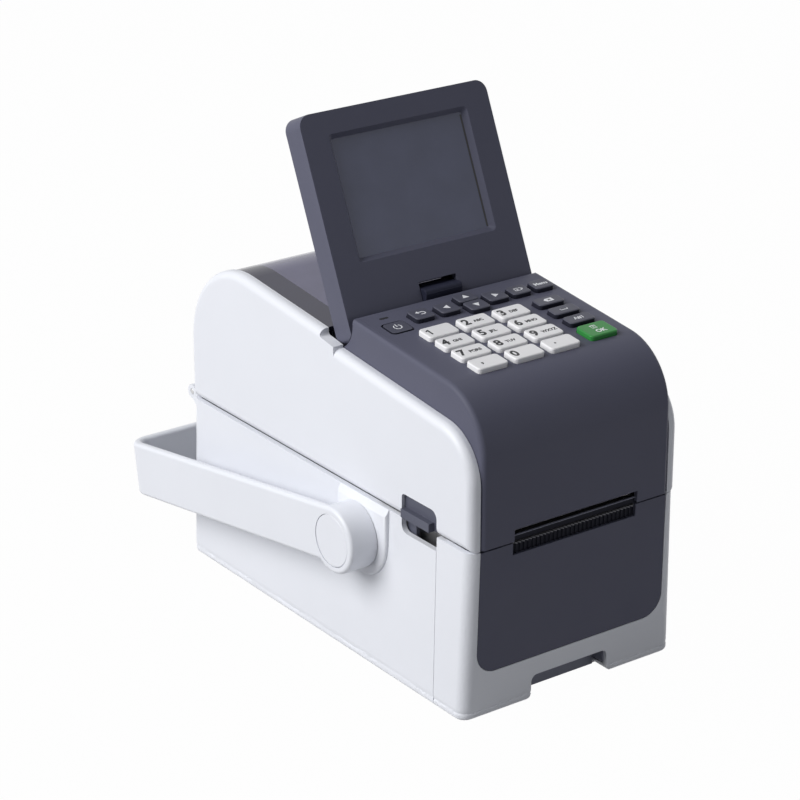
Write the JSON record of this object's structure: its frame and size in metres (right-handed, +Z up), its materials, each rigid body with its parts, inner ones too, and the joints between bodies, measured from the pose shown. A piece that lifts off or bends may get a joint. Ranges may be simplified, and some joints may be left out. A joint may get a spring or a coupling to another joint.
{
  "type": "label maker",
  "caption": "Desktop thermal label maker with a clamshell lid, number keypad, tilting display and a swing-up carry handle.",
  "frame": {"origin": "on the table under the middle of the whole outline, handle at rest included", "axes": "+X to the right seen from the front, +Y to the rear, +Z up; the label slot faces -Y"},
  "size_m": [0.151, 0.263, 0.2449],
  "materials": {
    "white_plastic": "fine moulded texture, satin white",
    "dark_plastic": "fine moulded texture, satin dark grey",
    "black_plastic": "satin black",
    "smoked_gloss": "gloss smoked",
    "smoked_clear": "clear smoked",
    "screen_glass": "satin anti-glare glass",
    "screen_panel": "dark screen, off",
    "white_key": "satin white with black legends",
    "dark_key": "satin dark grey with white symbols",
    "green_key": "satin green with white symbols",
    "gear_plastic": "natural acetal",
    "steel": "zinc-plated or ground steel",
    "aluminium": "extruded heat sink",
    "rubber": "matt rubber",
    "circuit": "green circuit board and grey mat"
  },
  "bodies": {
    "base": {"base_shell": "white_plastic", "front_frame": "white_plastic", "front_panel": "dark_plastic", "tear_bar": "steel", "rubber_feet": "rubber", "chassis_plate_left": "steel", "chassis_plate_right": "steel", "roll_bay": "black_plastic", "stepper_motor": "steel", "circuit_boards": "circuit", "rear_sockets": "black_plastic", "handle_brackets": "white_plastic", "pivot_pins": "steel"},
    "platen": {"platen_roller": "rubber", "platen_shaft": "steel"},
    "idler": {"idler_gear": "gear_plastic"},
    "motor": {"motor_rotor": "steel"},
    "guide_left": {"guide_left": "gear_plastic"},
    "guide_right": {"guide_right": "gear_plastic"},
    "guide_gear": {"guide_pinion": "gear_plastic"},
    "lid": {"lid_shell": "white_plastic", "control_cover": "dark_plastic", "rear_cover": "smoked_gloss", "roll_window": "smoked_clear", "lid_frame": "black_plastic", "keypad_board": "circuit", "display_hinge_block": "black_plastic", "head_spring": "steel"},
    "latch": {"release_latch": "black_plastic"},
    "head": {"print_head": "aluminium"},
    "display": {"display_bezel": "dark_plastic", "display_lens": "screen_glass", "display_shell": "dark_plastic", "lcd_module": "screen_panel"},
    "handle": {"carry_handle": "white_plastic", "hub_caps": "white_plastic"},
    "key_power": {"key_power": "dark_key"},
    "key_back": {"key_back": "dark_key"},
    "key_left": {"key_left": "dark_key"},
    "key_up": {"key_up": "dark_key"},
    "key_down": {"key_down": "dark_key"},
    "key_right": {"key_right": "dark_key"},
    "key_feed": {"key_feed": "dark_key"},
    "key_menu": {"key_menu": "dark_key"},
    "key_erase": {"key_erase": "dark_key"},
    "key_space": {"key_space": "dark_key"},
    "key_charset": {"key_charset": "dark_key"},
    "key_print": {"key_print": "green_key"},
    "key_1": {"key_1": "white_key"},
    "key_2": {"key_2": "white_key"},
    "key_3": {"key_3": "white_key"},
    "key_4": {"key_4": "white_key"},
    "key_5": {"key_5": "white_key"},
    "key_6": {"key_6": "white_key"},
    "key_7": {"key_7": "white_key"},
    "key_8": {"key_8": "white_key"},
    "key_9": {"key_9": "white_key"},
    "key_comma": {"key_comma": "white_key"},
    "key_0": {"key_0": "white_key"},
    "key_point": {"key_point": "white_key"}
  },
  "joints": [
    {"name": "lid_hinge", "type": "hinge", "parent": "base", "child": "lid", "pos_m": [0, 0.09859, 0.0826], "axis": [-1, 0, 0], "range_deg": [0, 90]},
    {"name": "display_tilt", "type": "hinge", "parent": "lid", "child": "display", "pos_m": [0, -0.02121, 0.158], "axis": [-1, 0, 0], "range_deg": [0, 60]},
    {"name": "handle_swing", "type": "hinge", "parent": "base", "child": "handle", "pos_m": [0, -0.04941, 0.0634], "axis": [1, 0, 0], "range_deg": [0, 64]},
    {"name": "latch_release", "type": "hinge", "parent": "lid", "child": "latch", "pos_m": [0, -0.06821, 0.1], "axis": [-1, 0, 0], "range_deg": [0, 8], "stiffness_Nm_per_rad": 0.1, "springref_deg": -17.19},
    {"name": "head_float", "type": "slide", "parent": "lid", "child": "head", "axis": [0, 0, 1], "range_m": [0, 0.0008], "stiffness_N_per_m": 3000, "springref_m": -0.002, "deforming": ["head_spring"]},
    {"name": "platen_spin", "type": "hinge", "parent": "base", "child": "platen", "pos_m": [0, -0.11571, 0.0759], "axis": [1, 0, 0], "continuous": true},
    {"name": "idler_spin", "type": "hinge", "parent": "base", "child": "idler", "pos_m": [0, -0.10836, 0.06317], "axis": [1, 0, 0], "continuous": true},
    {"name": "motor_spin", "type": "hinge", "parent": "base", "child": "motor", "pos_m": [0, -0.09764, 0.05417], "axis": [1, 0, 0], "continuous": true},
    {"name": "guide_left_slide", "type": "slide", "parent": "base", "child": "guide_left", "axis": [1, 0, 0], "range_m": [0, 0.022]},
    {"name": "guide_right_slide", "type": "slide", "parent": "base", "child": "guide_right", "axis": [-1, 0, 0], "range_m": [-0.0001, 0.0221]},
    {"name": "guide_gear_spin", "type": "hinge", "parent": "base", "child": "guide_gear", "pos_m": [0, 0.01979, 0.008], "axis": [0, 0, 1], "range_deg": [-158, 1]},
    {"name": "key_power_press", "type": "slide", "parent": "lid", "child": "key_power", "axis": [0, 0.1011, -0.9949], "range_m": [0, 0.001], "stiffness_N_per_m": 300, "springref_m": -0.002},
    {"name": "key_back_press", "type": "slide", "parent": "lid", "child": "key_back", "axis": [0, 0.1011, -0.9949], "range_m": [0, 0.001], "stiffness_N_per_m": 300, "springref_m": -0.002},
    {"name": "key_left_press", "type": "slide", "parent": "lid", "child": "key_left", "axis": [0, 0.1011, -0.9949], "range_m": [0, 0.001], "stiffness_N_per_m": 300, "springref_m": -0.002},
    {"name": "key_up_press", "type": "slide", "parent": "lid", "child": "key_up", "axis": [0, 0.1011, -0.9949], "range_m": [0, 0.001], "stiffness_N_per_m": 300, "springref_m": -0.002},
    {"name": "key_down_press", "type": "slide", "parent": "lid", "child": "key_down", "axis": [0, 0.1011, -0.9949], "range_m": [0, 0.001], "stiffness_N_per_m": 300, "springref_m": -0.002},
    {"name": "key_right_press", "type": "slide", "parent": "lid", "child": "key_right", "axis": [0, 0.1011, -0.9949], "range_m": [0, 0.001], "stiffness_N_per_m": 300, "springref_m": -0.002},
    {"name": "key_feed_press", "type": "slide", "parent": "lid", "child": "key_feed", "axis": [0, 0.1011, -0.9949], "range_m": [0, 0.001], "stiffness_N_per_m": 300, "springref_m": -0.002},
    {"name": "key_menu_press", "type": "slide", "parent": "lid", "child": "key_menu", "axis": [0, 0.1011, -0.9949], "range_m": [0, 0.001], "stiffness_N_per_m": 300, "springref_m": -0.002},
    {"name": "key_erase_press", "type": "slide", "parent": "lid", "child": "key_erase", "axis": [0, 0.1011, -0.9949], "range_m": [0, 0.001], "stiffness_N_per_m": 300, "springref_m": -0.002},
    {"name": "key_space_press", "type": "slide", "parent": "lid", "child": "key_space", "axis": [0, 0.1011, -0.9949], "range_m": [0, 0.001], "stiffness_N_per_m": 300, "springref_m": -0.002},
    {"name": "key_charset_press", "type": "slide", "parent": "lid", "child": "key_charset", "axis": [0, 0.1011, -0.9949], "range_m": [0, 0.001], "stiffness_N_per_m": 300, "springref_m": -0.002},
    {"name": "key_print_press", "type": "slide", "parent": "lid", "child": "key_print", "axis": [0, 0.1011, -0.9949], "range_m": [0, 0.001], "stiffness_N_per_m": 300, "springref_m": -0.002},
    {"name": "key_1_press", "type": "slide", "parent": "lid", "child": "key_1", "axis": [0, 0.1011, -0.9949], "range_m": [0, 0.001], "stiffness_N_per_m": 300, "springref_m": -0.002},
    {"name": "key_2_press", "type": "slide", "parent": "lid", "child": "key_2", "axis": [0, 0.1011, -0.9949], "range_m": [0, 0.001], "stiffness_N_per_m": 300, "springref_m": -0.002},
    {"name": "key_3_press", "type": "slide", "parent": "lid", "child": "key_3", "axis": [0, 0.1011, -0.9949], "range_m": [0, 0.001], "stiffness_N_per_m": 300, "springref_m": -0.002},
    {"name": "key_4_press", "type": "slide", "parent": "lid", "child": "key_4", "axis": [0, 0.1011, -0.9949], "range_m": [0, 0.001], "stiffness_N_per_m": 300, "springref_m": -0.002},
    {"name": "key_5_press", "type": "slide", "parent": "lid", "child": "key_5", "axis": [0, 0.1011, -0.9949], "range_m": [0, 0.001], "stiffness_N_per_m": 300, "springref_m": -0.002},
    {"name": "key_6_press", "type": "slide", "parent": "lid", "child": "key_6", "axis": [0, 0.1011, -0.9949], "range_m": [0, 0.001], "stiffness_N_per_m": 300, "springref_m": -0.002},
    {"name": "key_7_press", "type": "slide", "parent": "lid", "child": "key_7", "axis": [0, 0.1011, -0.9949], "range_m": [0, 0.001], "stiffness_N_per_m": 300, "springref_m": -0.002},
    {"name": "key_8_press", "type": "slide", "parent": "lid", "child": "key_8", "axis": [0, 0.1011, -0.9949], "range_m": [0, 0.001], "stiffness_N_per_m": 300, "springref_m": -0.002},
    {"name": "key_9_press", "type": "slide", "parent": "lid", "child": "key_9", "axis": [0, 0.1011, -0.9949], "range_m": [0, 0.001], "stiffness_N_per_m": 300, "springref_m": -0.002},
    {"name": "key_comma_press", "type": "slide", "parent": "lid", "child": "key_comma", "axis": [0, 0.1011, -0.9949], "range_m": [0, 0.001], "stiffness_N_per_m": 300, "springref_m": -0.002},
    {"name": "key_0_press", "type": "slide", "parent": "lid", "child": "key_0", "axis": [0, 0.1011, -0.9949], "range_m": [0, 0.001], "stiffness_N_per_m": 300, "springref_m": -0.002},
    {"name": "key_point_press", "type": "slide", "parent": "lid", "child": "key_point", "axis": [0, 0.1011, -0.9949], "range_m": [0, 0.001], "stiffness_N_per_m": 300, "springref_m": -0.002}
  ],
  "couplings": [
    {"joint": "idler_spin", "follows": "platen_spin", "ratio": -0.5},
    {"joint": "motor_spin", "follows": "platen_spin", "ratio": 1.1667},
    {"joint": "guide_right_slide", "follows": "guide_left_slide", "ratio": 1},
    {"joint": "guide_gear_spin", "follows": "guide_left_slide", "rad_per_m": -125}
  ]
}
